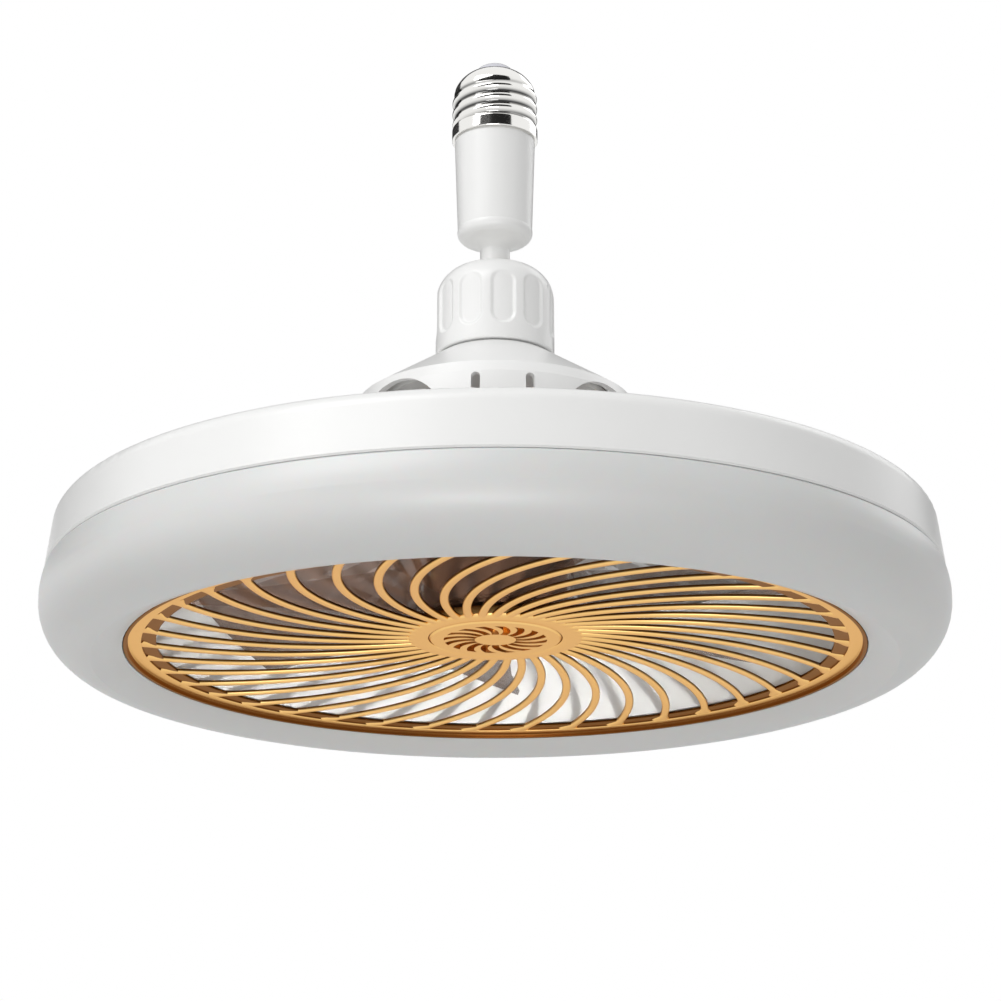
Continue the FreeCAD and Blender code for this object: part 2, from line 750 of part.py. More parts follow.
def make_diffuser():
    top = (disc_r, diffuser_top - 0.5)
    side = (disc_r + diffuser_swell, diffuser_top - diffuser_side)
    bottom = (diffuser_bottom_r, diffuser_low)
    quarter = math.hypot(side[0] - bottom[0], side[1] - bottom[1]) * (math.sqrt(2) - 1) / 2
    edge_z = grille_low
    in_side = (side[0] - diffuser_wall, side[1])
    in_bottom = (diffuser_bottom_r, diffuser_low + diffuser_wall)
    sleeve_top = led_board_low - seam_gap
    seat_z = edge_z + grille_lip
    lip_low = diffuser_top - diffuser_wall
    lip_top = tray_low - 0.2
    return turned(
        (disc_r - 0.5, diffuser_top), top, bowed(top, side, 0.4), bowed(side, bottom, quarter),
        bowed(bottom, (diffuser_edge_r, edge_z), 0.5), (diffuser_edge_r, seat_z),
        (diffuser_sleeve_r, seat_z), (diffuser_sleeve_r, sleeve_top), (sleeve_out_r, sleeve_top),
        (sleeve_out_r, seat_z + diffuser_wall), in_bottom,
        bowed(in_bottom, in_side, 0.5 - quarter), (in_side[0], lip_low),
        (diffuser_lip_r, lip_low), (diffuser_lip_r, lip_top), (tray_r, lip_top),
        (tray_r, diffuser_top))


save("diffuser", make_diffuser())


# Grille: a hub and an outer ring joined by swept ribs, and a cap in the hub
def make_rib():
    start = Vector(grille_hub_r - 2.0, 0, 0)
    turn = math.radians(rib_sweep)
    end_r = grille_collar_r + 1.0
    end = Vector(end_r * math.cos(turn), end_r * math.sin(turn), 0)
    chord = end - start
    length = chord.Length
    sideways = Vector(chord.y, -chord.x, 0).normalize()
    bend_r = (length ** 2 / 4 + rib_bow ** 2) / (2 * rib_bow)
    bend_centre = (start + end) / 2 - sideways * (bend_r - rib_bow)
    spoke = (start - bend_centre).normalize()
    half = rib_width / 2
    low_round = half * 0.8
    corners = [
        bend_centre + spoke * (bend_r - half) + up * rib_depth,
        bend_centre + spoke * (bend_r - half) + up * low_round,
        bend_centre + spoke * bend_r,
        bend_centre + spoke * (bend_r + half) + up * low_round,
        bend_centre + spoke * (bend_r + half) + up * rib_depth]
    section = Part.Face(Part.Wire([
        Part.LineSegment(corners[0], corners[1]).toShape(),
        Part.Arc(corners[1], corners[2], corners[3]).toShape(),
        Part.LineSegment(corners[3], corners[4]).toShape(),
        Part.LineSegment(corners[4], corners[0]).toShape()]))
    swing = math.degrees(2 * math.asin(length / 2 / bend_r))
    rib = section.revolve(bend_centre, up, swing)
    foot = []
    for before_end, reach in ((foot_length, 0.8 * half), (1.0, foot_spread * half)):
        step = math.radians(swing) - before_end / bend_r
        way = Vector(spoke.x * math.cos(step) - spoke.y * math.sin(step),
                     spoke.x * math.sin(step) + spoke.y * math.cos(step), 0)
        foot.append(bend_centre + way * (bend_r - reach) + up * low_round)
        foot.append(bend_centre + way * (bend_r + reach) + up * low_round)
    outline = Part.makePolygon([foot[0], foot[1], foot[3], foot[2], foot[0]])
    rib = rib.fuse(Part.Face(outline).extrude(up * (rib_depth - low_round)))
    fall = grille_hub_rise - grille_rim_rise
    rib.rotate(start, Vector(-chord.y, chord.x, 0), math.degrees(math.atan2(fall, length)))
    rib.translate(Vector(0, 0, hub_low))
    return rib


def make_grille():
    lip_r = diffuser_edge_r - grille_gap
    lip_top = grille_low + grille_lip
    collar_top = grille_low + grille_collar_height
    rim_round = 0.4
    ledge_r = grille_collar_r - ledge_width
    ledge_low = rim_low + ledge_rise
    ledge_top = ledge_low + ledge_thickness
    collar = turned(
        (grille_collar_r, collar_top), (grille_collar_r, ledge_top), (ledge_r, ledge_top),
        (ledge_r, ledge_low), (grille_collar_r, ledge_low), (grille_collar_r, rim_low + rim_round),
        (grille_collar_r + rim_round, rim_low), (lip_r - grille_lip_wall, rim_low),
        (lip_r - grille_lip_wall, grille_low), (lip_r, grille_low), (lip_r, lip_top),
        (collar_out_r, lip_top), (collar_out_r, collar_top))
    recess_r = hub_cap_r + grille_gap
    floor_low = hub_low + hub_cap_thickness - 0.3
    hub = turned(
        (0, floor_low), (recess_r, floor_low), (recess_r, hub_low),
        (grille_hub_r - 0.8, hub_low), (grille_hub_r, hub_low + 0.8), (grille_hub_r, hub_top),
        (0, hub_top))
    inside = ring(0.0, collar_out_r - 0.2, grille_low - 1, collar_top + 1)
    rib = make_rib().common(inside)
    ribs = [spun(rib, 360.0 * step / rib_count) for step in range(rib_count)]
    return hub.fuse(ribs + [collar])


save("grille", make_grille())

cap_face = hub_low - 0.3
hub_cap = turned(
    (0, cap_face), (hub_cap_r - 0.5, cap_face), (hub_cap_r, cap_face + 0.5),
    (hub_cap_r, cap_face + hub_cap_thickness), (0, cap_face + hub_cap_thickness))
slot_bend = (hub_slot_out - hub_slot_in) * 0.9
slot = ring(slot_bend - hub_slot_width / 2, slot_bend + hub_slot_width / 2, cap_face - 1,
            cap_face + hub_cap_thickness + 1)
slot.translate(Vector(hub_slot_in + 1.0, -slot_bend, 0))
slot = slot.common(ring(hub_slot_in, hub_slot_out, cap_face - 2, cap_face + hub_cap_thickness + 2))
slot = slot.common(Part.makeBox(40, 40, 40, Vector(0, -slot_bend, cap_face - 10)))
save("hub_cap", hub_cap.cut(around(slot, hub_slot_count)))

# Leads: mains through the ball, and the driver's leads to the motor and the LED board
solder_r = cap_bore_r - lead_r - 0.2
solder_z = land_top + cap_thread_length * 0.6 + 2.0
lead_in = inside_r * 0.3
mains = []
for side, first in ((1, [Vector(0, 0, insulator_low - 0.05), Vector(0, 0, solder_z - 4)]),
                    (-1, [Vector(-solder_r, 0, solder_z), Vector(-lead_in, 0, solder_z - 4)])):
    path = first + [Vector(side * lead_step, 0, stem_top + 6), Vector(side * lead_step, 0, driver_top)]
    mains.append(lead(path, lead_r))
save("mains_leads", Part.makeCompound(mains))

motor_leads = []
for offset in (-1.6, 0.0, 1.6):
    top = Vector(lead_circle_r, offset, driver_low)
    motor_leads.append(Part.makeCylinder(lead_r, driver_low - base_top, top, Vector(0, 0, -1)))
save("motor_leads", Part.makeCompound(motor_leads))

led_leads = []
for offset in (-0.9, 0.9):
    path = [Vector(lead_circle_r, offset, driver_low),
            Vector(lead_circle_r, offset, cover_under - 3.0),
            Vector(cover_flat_r, offset, cover_under - 1.8),
            Vector(led_lead_r, offset, cover_under_at(led_lead_r) - 1.8),
            Vector(led_lead_r, offset, tray_low)]
    led_leads.append(spun(lead(path, lead_r), lead_places[1]))
save("led_leads", Part.makeCompound(led_leads))
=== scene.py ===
import bmesh
import bpy
import math
import numpy as np
from mathutils import Matrix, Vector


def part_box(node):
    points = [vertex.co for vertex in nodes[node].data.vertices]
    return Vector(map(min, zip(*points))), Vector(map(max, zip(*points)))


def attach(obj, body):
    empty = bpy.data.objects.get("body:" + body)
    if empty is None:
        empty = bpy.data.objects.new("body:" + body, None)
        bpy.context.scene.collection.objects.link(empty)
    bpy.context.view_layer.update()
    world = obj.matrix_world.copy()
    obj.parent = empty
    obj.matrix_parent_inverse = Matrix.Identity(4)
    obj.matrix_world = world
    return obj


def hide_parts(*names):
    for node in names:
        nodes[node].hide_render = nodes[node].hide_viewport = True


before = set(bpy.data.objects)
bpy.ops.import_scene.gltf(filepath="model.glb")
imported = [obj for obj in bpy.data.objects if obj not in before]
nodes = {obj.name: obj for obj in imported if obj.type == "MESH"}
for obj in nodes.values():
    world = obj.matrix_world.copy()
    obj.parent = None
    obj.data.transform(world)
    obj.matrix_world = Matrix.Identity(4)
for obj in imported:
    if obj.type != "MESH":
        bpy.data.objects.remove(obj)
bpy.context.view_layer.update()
scene = bpy.context.scene
scene.view_settings.view_transform = "Standard"
mm = 0.001
print("frame loaded with", len(nodes), "nodes")


# camera, from a perspective fit of the cap, nut, disc and grille outlines; place in mm, angles in degrees
view = dict(place=(0.0, -779.0, -365.9), pitch=17.69, yaw=-0.114, roll=-0.10, lens=99.8, sensor=36.0,
            farClip=50.0)
camera = bpy.data.objects.new("camera", bpy.data.cameras.new("camera"))
camera.data.lens = view["lens"]
camera.data.sensor_width = view["sensor"]
camera.data.clip_end = view["farClip"]
stand = Matrix.Translation([value * mm for value in view["place"]])
turn = Matrix.Rotation(math.radians(view["yaw"]), 4, "Z")
nod = Matrix.Rotation(math.radians(90 + view["pitch"]), 4, "X")
roll = Matrix.Rotation(math.radians(view["roll"]), 4, "Z")
camera.matrix_world = stand @ turn @ nod @ roll
scene.collection.objects.link(camera)
scene.camera = camera
print("camera placed")


# one hex colour, sRGB to linear
def hexLinear(code):
    values = np.array([int(code[i:i + 2], 16) for i in (1, 3, 5)]) / 255.0
    linear = np.where(values <= 0.04045, values / 12.92, ((values + 0.055) / 1.055) ** 2.4)
    return (*linear.tolist(), 1.0)


# adds one node; inputs are plain values or the sockets to link from
def addNode(tree, kind, inputs=None, **settings):
    node = tree.nodes.new(kind)
    for key, value in settings.items():
        setattr(node, key, value)
    for key, value in (inputs or {}).items():
        if isinstance(value, bpy.types.NodeSocket):
            tree.links.new(value, node.inputs[key])
        else:
            node.inputs[key].default_value = value
    return node


# an empty material with its output and its object coordinates, ready for a shader
def newMaterial(name):
    material = bpy.data.materials.new(name)
    material.use_nodes = True
    tree = material.node_tree
    tree.nodes.clear()
    output = addNode(tree, "ShaderNodeOutputMaterial")
    place = addNode(tree, "ShaderNodeTexCoord").outputs["Object"]
    return material, tree, output, place


# depths in mm of the skin's bumps and of light that sinks in, and how many finer layers the noise has
skin = dict(bumpDepth=0.05, sinkDepth=4.0, detail=2.0)


# moulded or plated surface: wide noise, cloud mm across, mixes two shades and shifts the gloss,
# and fine noise, grain mm across, gives the skin of the tool it was made in, drawn coarse enough to show
def mouldedMaterial(name, look):
    material, tree, output, place = newMaterial(name)
    cloud = addNode(tree, "ShaderNodeTexNoise", {"Vector": place, "Scale": 1 / (look["cloud"] * mm),
                                                 "Detail": skin["detail"]})
    grain = addNode(tree, "ShaderNodeTexNoise", {"Vector": place, "Scale": 1 / (look["grain"] * mm),
                                                 "Detail": skin["detail"]})
    tint = addNode(tree, "ShaderNodeMix", {"Factor": cloud.outputs["Fac"], "A": hexLinear(look["low"]),
                                           "B": hexLinear(look["high"])}, data_type="RGBA")
    gloss = addNode(tree, "ShaderNodeMapRange", {"Value": cloud.outputs["Fac"], "To Min": look["gloss"][0],
                                                 "To Max": look["gloss"][1]})
    bump = addNode(tree, "ShaderNodeBump", {"Height": grain.outputs["Fac"], "Strength": look["bump"],
                                            "Distance": skin["bumpDepth"] * mm})
    shader = addNode(tree, "ShaderNodeBsdfPrincipled",
                     {"Base Color": tint.outputs["Result"], "Roughness": gloss.outputs["Result"],
                      "Normal": bump.outputs["Normal"], "IOR": look.get("ior", 1.5),
                      "Metallic": look.get("metallic", 0.0), "Alpha": look.get("alpha", 1.0),
                      "Subsurface Weight": look.get("depth", 0.0),
                      "Subsurface Scale": skin["sinkDepth"] * mm})
    tree.links.new(shader.outputs["BSDF"], output.inputs["Surface"])
    return material


# puts one material on whole nodes
def dress(material, *names):
    for name in names:
        slots = nodes[name].data.materials
        slots.clear()
        slots.append(material)


# satin injection-moulded ABS: clean white with a soft broad sheen
whiteAbs = mouldedMaterial("whiteAbs", dict(low="#efefee", high="#f5f5f4", cloud=60, grain=0.9,
                                            gloss=(0.28, 0.36), bump=0.05))
dress(whiteAbs, "adaptor_body", "turret", "top_cover")
# matt ABS for the inner mouldings: white and dull
mattAbs = mouldedMaterial("mattAbs", dict(low="#efefed", high="#f5f5f3", cloud=50, grain=0.9,
                                          gloss=(0.5, 0.6), bump=0.08))
dress(mattAbs, "driver_lid", "led_tray")
# opal polycarbonate: milky, light sinks in a little before it comes back
opal = mouldedMaterial("opalPolycarbonate", dict(low="#dadad9", high="#dededd", cloud=90, grain=1.2,
                                                 gloss=(0.34, 0.42), bump=0.03, ior=1.58, depth=0.2))
dress(opal, "diffuser")
# tinned brass button: dull pale metal
tin = mouldedMaterial("tinnedContact", dict(low="#c8c4b8", high="#d6d2c8", cloud=4, grain=0.4,
                                            gloss=(0.25, 0.4), bump=0.2, metallic=1.0))
dress(tin, "cap_contact")
# glazed insulator: pale, cold and shiny
glaze = mouldedMaterial("glazedInsulator", dict(low="#cfcfd8", high="#d8d8e0", cloud=8, grain=0.6,
                                                gloss=(0.12, 0.2), bump=0.03))
dress(glaze, "cap_insulator")
# smoke-tinted polycarbonate blades: see-through, glossy, taupe over white and dark over dark
smoke = mouldedMaterial("smokePolycarbonate", dict(low="#6e5140", high="#7c5c49", cloud=40, grain=0.9,
                                                   gloss=(0.05, 0.09), bump=0.01, ior=1.58, alpha=0.5))
dress(smoke, "fan")
# natural nylon seats: waxy, off-white
nylon = mouldedMaterial("naturalNylon", dict(low="#d8d4c8", high="#e2dfd4", cloud=10, grain=0.5,
                                             gloss=(0.45, 0.55), bump=0.08))
dress(nylon, "ball_seat_upper", "ball_seat_lower")
# zinc-plated and ground steel: cool grey with a soft shine
steel = mouldedMaterial("zincSteel", dict(low="#a9a9a8", high="#b8b8b6", cloud=5, grain=0.3,
                                          gloss=(0.28, 0.4), bump=0.1, metallic=1.0))
dress(steel, "ball_stem", "turret_screws", "lid_screws", "led_screws", "bearing_lower", "bearing_upper",
      "motor_shaft", "shaft_clip", "rotor_ring")
# turned brass nut: warm yellow with a soft shine
brass = mouldedMaterial("turnedBrass", dict(low="#c9a65a", high="#d8b86d", cloud=5, grain=0.4,
                                            gloss=(0.22, 0.32), bump=0.08, metallic=1.0))
dress(brass, "stem_nut")
# moulded ABS motor base: dark grey and dull
greyAbs = mouldedMaterial("greyAbs", dict(low="#4c4a48", high="#575553", cloud=30, grain=0.8,
                                          gloss=(0.4, 0.5), bump=0.1))
dress(greyAbs, "motor_base")
# printed solder mask on the two boards: green and white, smooth with a low sheen
greenMask = mouldedMaterial("greenSolderMask", dict(low="#1f5a33", high="#2a6a3d", cloud=6, grain=0.5,
                                                    gloss=(0.25, 0.35), bump=0.05))
dress(greenMask, "driver_board")
whiteMask = mouldedMaterial("whiteSolderMask", dict(low="#ececea", high="#f4f4f2", cloud=12, grain=0.5,
                                                    gloss=(0.3, 0.4), bump=0.05))
dress(whiteMask, "led_board")
# polyester tape wound round the transformer: strong yellow with a low sheen
tape = mouldedMaterial("windingTape", dict(low="#d9b52c", high="#e3c343", cloud=6, grain=0.5,
                                           gloss=(0.3, 0.4), bump=0.1))
dress(tape, "transformer")
# shrunk sleeves and mould compound: near black with a low sheen
sleeve = mouldedMaterial("capacitorSleeve", dict(low="#171822", high="#20222d", cloud=6, grain=0.5,
                                                 gloss=(0.25, 0.35), bump=0.05))
dress(sleeve, "capacitors", "driver_chips")
# phosphor gel cast over the LED chips: warm yellow and soft
phosphor = mouldedMaterial("ledPhosphor", dict(low="#e8c94f", high="#f1d768", cloud=2, grain=0.3,
                                               gloss=(0.35, 0.45), bump=0.1))
dress(phosphor, "led_chips")
# enamelled copper coils: red-brown metal under varnish
copper = mouldedMaterial("enamelledCopper", dict(low="#a8592c", high="#b96a38", cloud=3, grain=0.3,
                                                 gloss=(0.25, 0.35), bump=0.2, metallic=1.0))
dress(copper, "stator_windings")
# laminated steel and the sintered magnet: dull mid-grey metal
lamination = mouldedMaterial("laminatedSteel", dict(low="#6d6d6d", high="#7a7a7a", cloud=3, grain=0.4,
                                                    gloss=(0.4, 0.5), bump=0.2, metallic=1.0))
dress(lamination, "stator_core", "magnet_ring")
# extruded silicone insulation on the leads: red and matt
silicone = mouldedMaterial("siliconeLead", dict(low="#b02a22", high="#bd342b", cloud=6, grain=0.5,
                                                gloss=(0.45, 0.55), bump=0.05))
dress(silicone, "mains_leads", "motor_leads", "led_leads")


# gold vacuum-plated ABS: warm satin metal, with painted shade in brown where the recess attribute is 1
def goldMaterial(look):
    material, tree, output, place = newMaterial("goldPlatedAbs")
    recess = addNode(tree, "ShaderNodeAttribute", attribute_name="recess").outputs["Fac"]
    cloud = addNode(tree, "ShaderNodeTexNoise", {"Vector": place, "Scale": 1 / (look["cloud"] * mm),
                                                 "Detail": skin["detail"]})
    filmAndShade = addNode(tree, "ShaderNodeMix", {"Factor": cloud.outputs["Fac"], "A": hexLinear(look["low"]),
                                           "B": hexLinear(look["high"])}, data_type="RGBA")
    # painted shade: the brown is mixed into the gold where the recess attribute is 1
    tint = addNode(tree, "ShaderNodeMix", {"Factor": recess, "A": filmAndShade.outputs["Result"],
                                           "B": hexLinear(look["shadeBrown"])}, data_type="RGBA")
    gloss = addNode(tree, "ShaderNodeMapRange", {"Value": cloud.outputs["Fac"], "To Min": look["gloss"][0],
                                                 "To Max": look["gloss"][1]})
    shader = addNode(tree, "ShaderNodeBsdfPrincipled",
                     {"Base Color": tint.outputs["Result"], "Roughness": gloss.outputs["Result"],
                      "Metallic": 1.0, "Specular Tint": hexLinear(look["edge"])})
    tree.links.new(shader.outputs["BSDF"], output.inputs["Surface"])
    return material


# the dark brown is painted shade for the walls, the ledge and the rib sides
gold = goldMaterial(dict(low="#f1c47c", high="#f5cc86", shadeBrown="#734a22", edge="#eed4bf", cloud=30,
                         gloss=(0.26, 0.34)))
dress(gold, "grille", "hub_cap")


# bright nickel plate, with painted shade making it dark down in the thread roots where the valley attribute is
# high
def nickelMaterial(look):
    material, tree, output, place = newMaterial("brightNickel")
    valley = addNode(tree, "ShaderNodeAttribute", attribute_name="valley").outputs["Fac"]
    specks = addNode(tree, "ShaderNodeTexNoise", {"Vector": place, "Scale": 1 / (look["speck"] * mm),
                                                  "Detail": look["detail"]})
    # painted shade: the dark root colour is mixed in where the valley attribute is high
    tint = addNode(tree, "ShaderNodeMix", {"Factor": valley, "A": hexLinear(look["crest"]),
                                           "B": hexLinear(look["root"])}, data_type="RGBA")
    wear = addNode(tree, "ShaderNodeMapRange", {"Value": specks.outputs["Fac"], "To Min": look["gloss"][0],
                                                "To Max": look["gloss"][1]})
    shader = addNode(tree, "ShaderNodeBsdfPrincipled",
                     {"Base Color": tint.outputs["Result"], "Roughness": wear.outputs["Result"],
                      "Metallic": 1.0})
    tree.links.new(shader.outputs["BSDF"], output.inputs["Surface"])
    return material


# the dark root colour is painted shade for the thread valleys
nickel = nickelMaterial(dict(crest="#eeedea", root="#3a3a3b", speck=1.5, detail=3.0, gloss=(0.08, 0.16)))
print("materials on the nodes")


# quads between neighbouring points of a grid with closed columns; closed rows join the last to the first
def gridFaces(rows, columns, closedRows):
    i, j = np.meshgrid(np.arange(rows - (not closedRows)), np.arange(columns), indexing="ij")
    nextI = (i + 1) % rows
    nextJ = (j + 1) % columns
    corners = [i * columns + j, i * columns + nextJ, nextI * columns + nextJ, nextI * columns + j]
    return np.stack(corners, axis=-1).reshape(-1, 4)


# points closer than merge mm become one, and edges sharper than crisp degrees stay sharp
meshing = dict(merge=0.002, crisp=34.0)


# one object from grids of points in mm, each (copies, rows, columns, xyz) with closed columns;
# poles are merged and faces turned outwards
def surfacePiece(name, grids, body, node, material, attributes=None):
    points = []
    faces = []
    start = 0
    for grid, closedRows in grids:
        copies, rows, columns = grid.shape[:3]
        quads = gridFaces(rows, columns, closedRows)
        steps = start + np.arange(copies)[:, None, None] * rows * columns
        points.append(grid.reshape(-1, 3) * mm)
        faces.append((quads[None] + steps).reshape(-1, 4))
        start += copies * rows * columns
    mesh = bpy.data.meshes.new(name)
    mesh.from_pydata(np.concatenate(points), [], np.concatenate(faces).tolist())
    for key, values in (attributes or {}).items():
        layer = mesh.attributes.new(key, "FLOAT", "POINT")
        layer.data.foreach_set("value", values.astype(np.float32).ravel())
    shape = bmesh.new()
    shape.from_mesh(mesh)
    bmesh.ops.remove_doubles(shape, verts=shape.verts, dist=meshing["merge"] * mm)
    bmesh.ops.recalc_face_normals(shape, faces=shape.faces)
    shape.to_mesh(mesh)
    shape.free()
    mesh.shade_smooth()
    mesh.set_sharp_from_angle(angle=math.radians(meshing["crisp"]))
    mesh.materials.append(material)
    piece = bpy.data.objects.new(name, mesh)
    scene.collection.objects.link(piece)
    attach(piece, body)
    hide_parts(node)
    print(name, "has", len(mesh.polygons), "faces")


# a closed outline of corners (radius, height, rounding): a quadratic curve rounds each corner, set back by
# its rounding on both sides, and by no more than share of the shorter side
def roundedOutline(corners, steps=6, share=0.48):
    table = np.asarray(corners, dtype=float)
    corner, rounding = table[:, :2], table[:, 2]
    back = np.roll(corner, 1, axis=0) - corner
    ahead = np.roll(corner, -1, axis=0) - corner
    backLength = np.linalg.norm(back, axis=1)
    aheadLength = np.linalg.norm(ahead, axis=1)
    reach = np.minimum(rounding, share * np.minimum(backLength, aheadLength))
    first = corner + back * (reach / backLength)[:, None]
    last = corner + ahead * (reach / aheadLength)[:, None]
    t = np.linspace(0.0, 1.0, steps)[None, :, None]
    curve = (1 - t) ** 2 * first[:, None] + 2 * t * (1 - t) * corner[:, None] + t ** 2 * last[:, None]
    return curve.reshape(-1, 2)


# the same outline with rows points spaced evenly along it
def evenOutline(outline, rows):
    loop = np.vstack([outline, outline[:1]])
    length = np.concatenate([[0.0], np.cumsum(np.linalg.norm(np.diff(loop, axis=0), axis=1))])
    at = np.linspace(0.0, length[-1], rows, endpoint=False)
    return np.stack([np.interp(at, length, loop[:, 0]), np.interp(at, length, loop[:, 1])], axis=1)


# one row of angles, spaced evenly round a full turn
def fullTurn(count):
    return np.linspace(0.0, 2 * np.pi, count, endpoint=False)[None, :]


# an outline of radius and height carried round the axis; swell adds to the radius of each point
def turnedGrid(outline, columns, swell=0.0):
    angle = fullTurn(columns)
    radius = outline[:, :1] + swell
    height = np.broadcast_to(outline[:, 1:], (len(outline), columns))
    return np.stack([radius * np.cos(angle), radius * np.sin(angle), height], axis=-1)[None]


# rises smoothly from 0 to 1 between low and high
def ease(value, low, high):
    t = np.clip((value - low) / (high - low), 0.0, 1.0)
    return t * t * (3 - 2 * t)


# lowest and highest point of a node, in mm
def boxHeights(node):
    low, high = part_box(node)
    return low[2] / mm, high[2] / mm


# points along a circular arc from start to end that bulges by sag to the right of the way
def bowedRun(start, end, sag, steps=10):
    way = np.subtract(end, start)
    length = float(np.hypot(*way))
    radius = (length ** 2 / 4 + sag ** 2) / (2 * sag)
    half = math.asin(length / 2 / radius)
    normal = np.array([way[1], -way[0]]) / length
    t = np.linspace(-half, half, steps)[:, None]
    forward = way / length * radius * np.sin(t)
    return np.add(start, end) / 2 + forward + normal * (radius * np.cos(t) - radius + sag)


# screw cap: radius = root + crest * fade * wave ** blunt, where wave is half a cosine that climbs one pitch
# a turn and fade ends the thread at both ends; valley = fade * (1 - wave) ** narrow is painted shade in its
# root
cap = dict(skirtR=13.1, rootR=12.25, crest=0.8, pitch=3.63, land=4.0, stepBelow=0.2, stepAbove=0.5,
           threadTop=17.0, early=0.4, runIn=1.6, runOut=3.0, blunt=0.8, narrow=3, shoulderR=6.2, bulge=0.9,
           wall=0.6, roofDrop=0.8, rows=260, columns=120)
capLow, capHigh = boxHeights("cap_shell")
capHeight = capHigh - capLow
bore = cap["rootR"] - cap["wall"]
shoulderRun = bowedRun((cap["rootR"], cap["threadTop"]), (cap["shoulderR"], capHeight), cap["bulge"])
capOutline = evenOutline(roundedOutline([
    (bore, 0, 0.1),
    (cap["skirtR"], 0, 0.3),
    (cap["skirtR"], cap["land"] - cap["stepBelow"], 0.3),
    (cap["rootR"], cap["land"] + cap["stepAbove"], 0.2),
    *[(*point, 0.5) for point in shoulderRun],
    (cap["shoulderR"], capHeight - cap["wall"], 0.1),
    (bore, cap["threadTop"] - cap["roofDrop"], 0.5)]), cap["rows"])
outside = capOutline[:, :1] > bore + cap["wall"] / 2
rise = capOutline[:, 1:]
wave = 0.5 + 0.5 * np.cos(2 * np.pi * rise / cap["pitch"] - fullTurn(cap["columns"]))
fadeIn = ease(rise, cap["land"] - cap["early"], cap["land"] + cap["runIn"])
fadeOut = 1 - ease(rise, cap["threadTop"] - cap["runOut"], cap["threadTop"])
fade = outside * fadeIn * fadeOut
thread = cap["crest"] * fade * wave ** cap["blunt"]
valley = fade * (1 - wave) ** cap["narrow"]
capGrid = turnedGrid(capOutline + [0.0, capLow], cap["columns"], thread)
surfacePiece("screwCap", [(capGrid, True)], "adaptor", "cap_shell", nickel,
             attributes=dict(valley=valley))


# clamp nut: a domed outline carried round, its radius cut back by round-ended grooves; a groove is where the
# distance to its middle line is under half its width, and its depth stops at the groove floor's radius
nut = dict(radius=17.8, shoulder=18.1, dome=2.6, rimR=8.5, lip=0.5, socketR=9.26, socketIn=0.3,
           socketDrop=2.7, ceiling=23.0, boreR=12.55, boreMargin=0.3, grooves=11, grooveWidth=6.9,
           grooveDepth=0.7, grooveLow=5.0, grooveTop=21.5, soft=0.6, rows=260, columns=440)
nutLow, nutHigh = boxHeights("clamp_nut")
nutHeight = nutHigh - nutLow
domeRun = bowedRun((nut["radius"], nut["shoulder"]), (nut["rimR"], nutHeight), nut["dome"])
nutOutline = evenOutline(roundedOutline([
    (nut["boreR"], 0, 0.2),
    (nut["radius"], 0, 0.5),
    *[(*point, 1.0) for point in domeRun],
    (nut["rimR"] - nut["lip"], nutHeight - nut["lip"], 0.2),
    (nut["socketR"] - nut["socketIn"], nutHeight - nut["socketDrop"], 0.6),
    (nut["socketR"], nut["ceiling"], 0.2),
    (nut["boreR"], nut["ceiling"], 0.2)]), nut["rows"])
pitchAngle = 2 * np.pi / nut["grooves"]
halfWidth = nut["grooveWidth"] / 2
aside = nut["radius"] * (np.mod(fullTurn(nut["columns"]), pitchAngle) - pitchAngle / 2)
rise = nutOutline[:, 1:]
beyondEnds = np.maximum(rise - nut["grooveTop"] + halfWidth, nut["grooveLow"] + halfWidth - rise)
away = np.hypot(aside, np.maximum(0.0, beyondEnds)) - halfWidth
deep = np.clip(nutOutline[:, :1] - nut["radius"] + nut["grooveDepth"], 0.0, nut["grooveDepth"])
deep = deep * (nutOutline[:, :1] > nut["boreR"] + nut["boreMargin"])
swell = -deep * (1 - ease(away, -nut["soft"], nut["soft"]))
nutGrid = turnedGrid(nutOutline + [0.0, nutLow], nut["columns"], swell)
surfacePiece("groovedNut", [(nutGrid, True)], "nut", "clamp_nut", whiteAbs)


# grille: a rim, a hub with a recess for its cap, and swept ribs of rounded section
# that follow an arc from hub to rim, fall evenly on the way and flare into feet at the rim
cage = dict(lipR=106.95, lipWall=1.1, collarR=101.8, collarOutR=104.35, collarTop=6.5, lip=3.6, rim=1.3,
            ledgeR=97.6, ledgeRise=0.5, ledgeThick=0.8, hubR=25.5, hubRise=5.3, hubThick=3.2, recessR=19.45,
            recess=1.2, ribs=40, sweep=32.0, bow=11.2, hubOverlap=2.0, rimOverlap=1.2, ribWidth=2.5,
            ribDepth=1.4, square=0.6, flare=1.5, flareLength=8.0, steps=56, sides=20, rimColumns=288,
            hubColumns=144)
cageLow = boxHeights("grille")[0]
ledgeLow = cage["rim"] + cage["ledgeRise"]
ledgeTop = ledgeLow + cage["ledgeThick"]
lipInR = cage["lipR"] - cage["lipWall"]
rimOutline = roundedOutline([
    (cage["collarR"], cage["collarTop"], 0.3),
    (cage["collarR"], ledgeTop, 0.1),
    (cage["ledgeR"], ledgeTop, 0.2),
    (cage["ledgeR"], ledgeLow, 0.2),
    (cage["collarR"], ledgeLow, 0.1),
    (cage["collarR"], cage["rim"], 0.2),
    (lipInR, cage["rim"], 0.5),
    (lipInR, 0, 0.2),
    (cage["lipR"], 0, 0.2),
    (cage["lipR"], cage["lip"], 0.3),
    (cage["collarOutR"], cage["lip"], 0.3),
    (cage["collarOutR"], cage["collarTop"], 0.3)])
hubFloor = cage["hubRise"] + cage["recess"]
hubTop = cage["hubRise"] + cage["hubThick"]
hubOutline = roundedOutline([
    (0, hubFloor, 0.0),
    (cage["recessR"], hubFloor, 0.2),
    (cage["recessR"], cage["hubRise"], 0.3),
    (cage["hubR"], cage["hubRise"], 0.9),
    (cage["hubR"], hubTop, 0.3),
    (0, hubTop, 0.0)])


# a wave between -1 and 1 pressed towards a square one
def squared(wave):
    return np.sign(wave) * np.abs(wave) ** cage["square"]


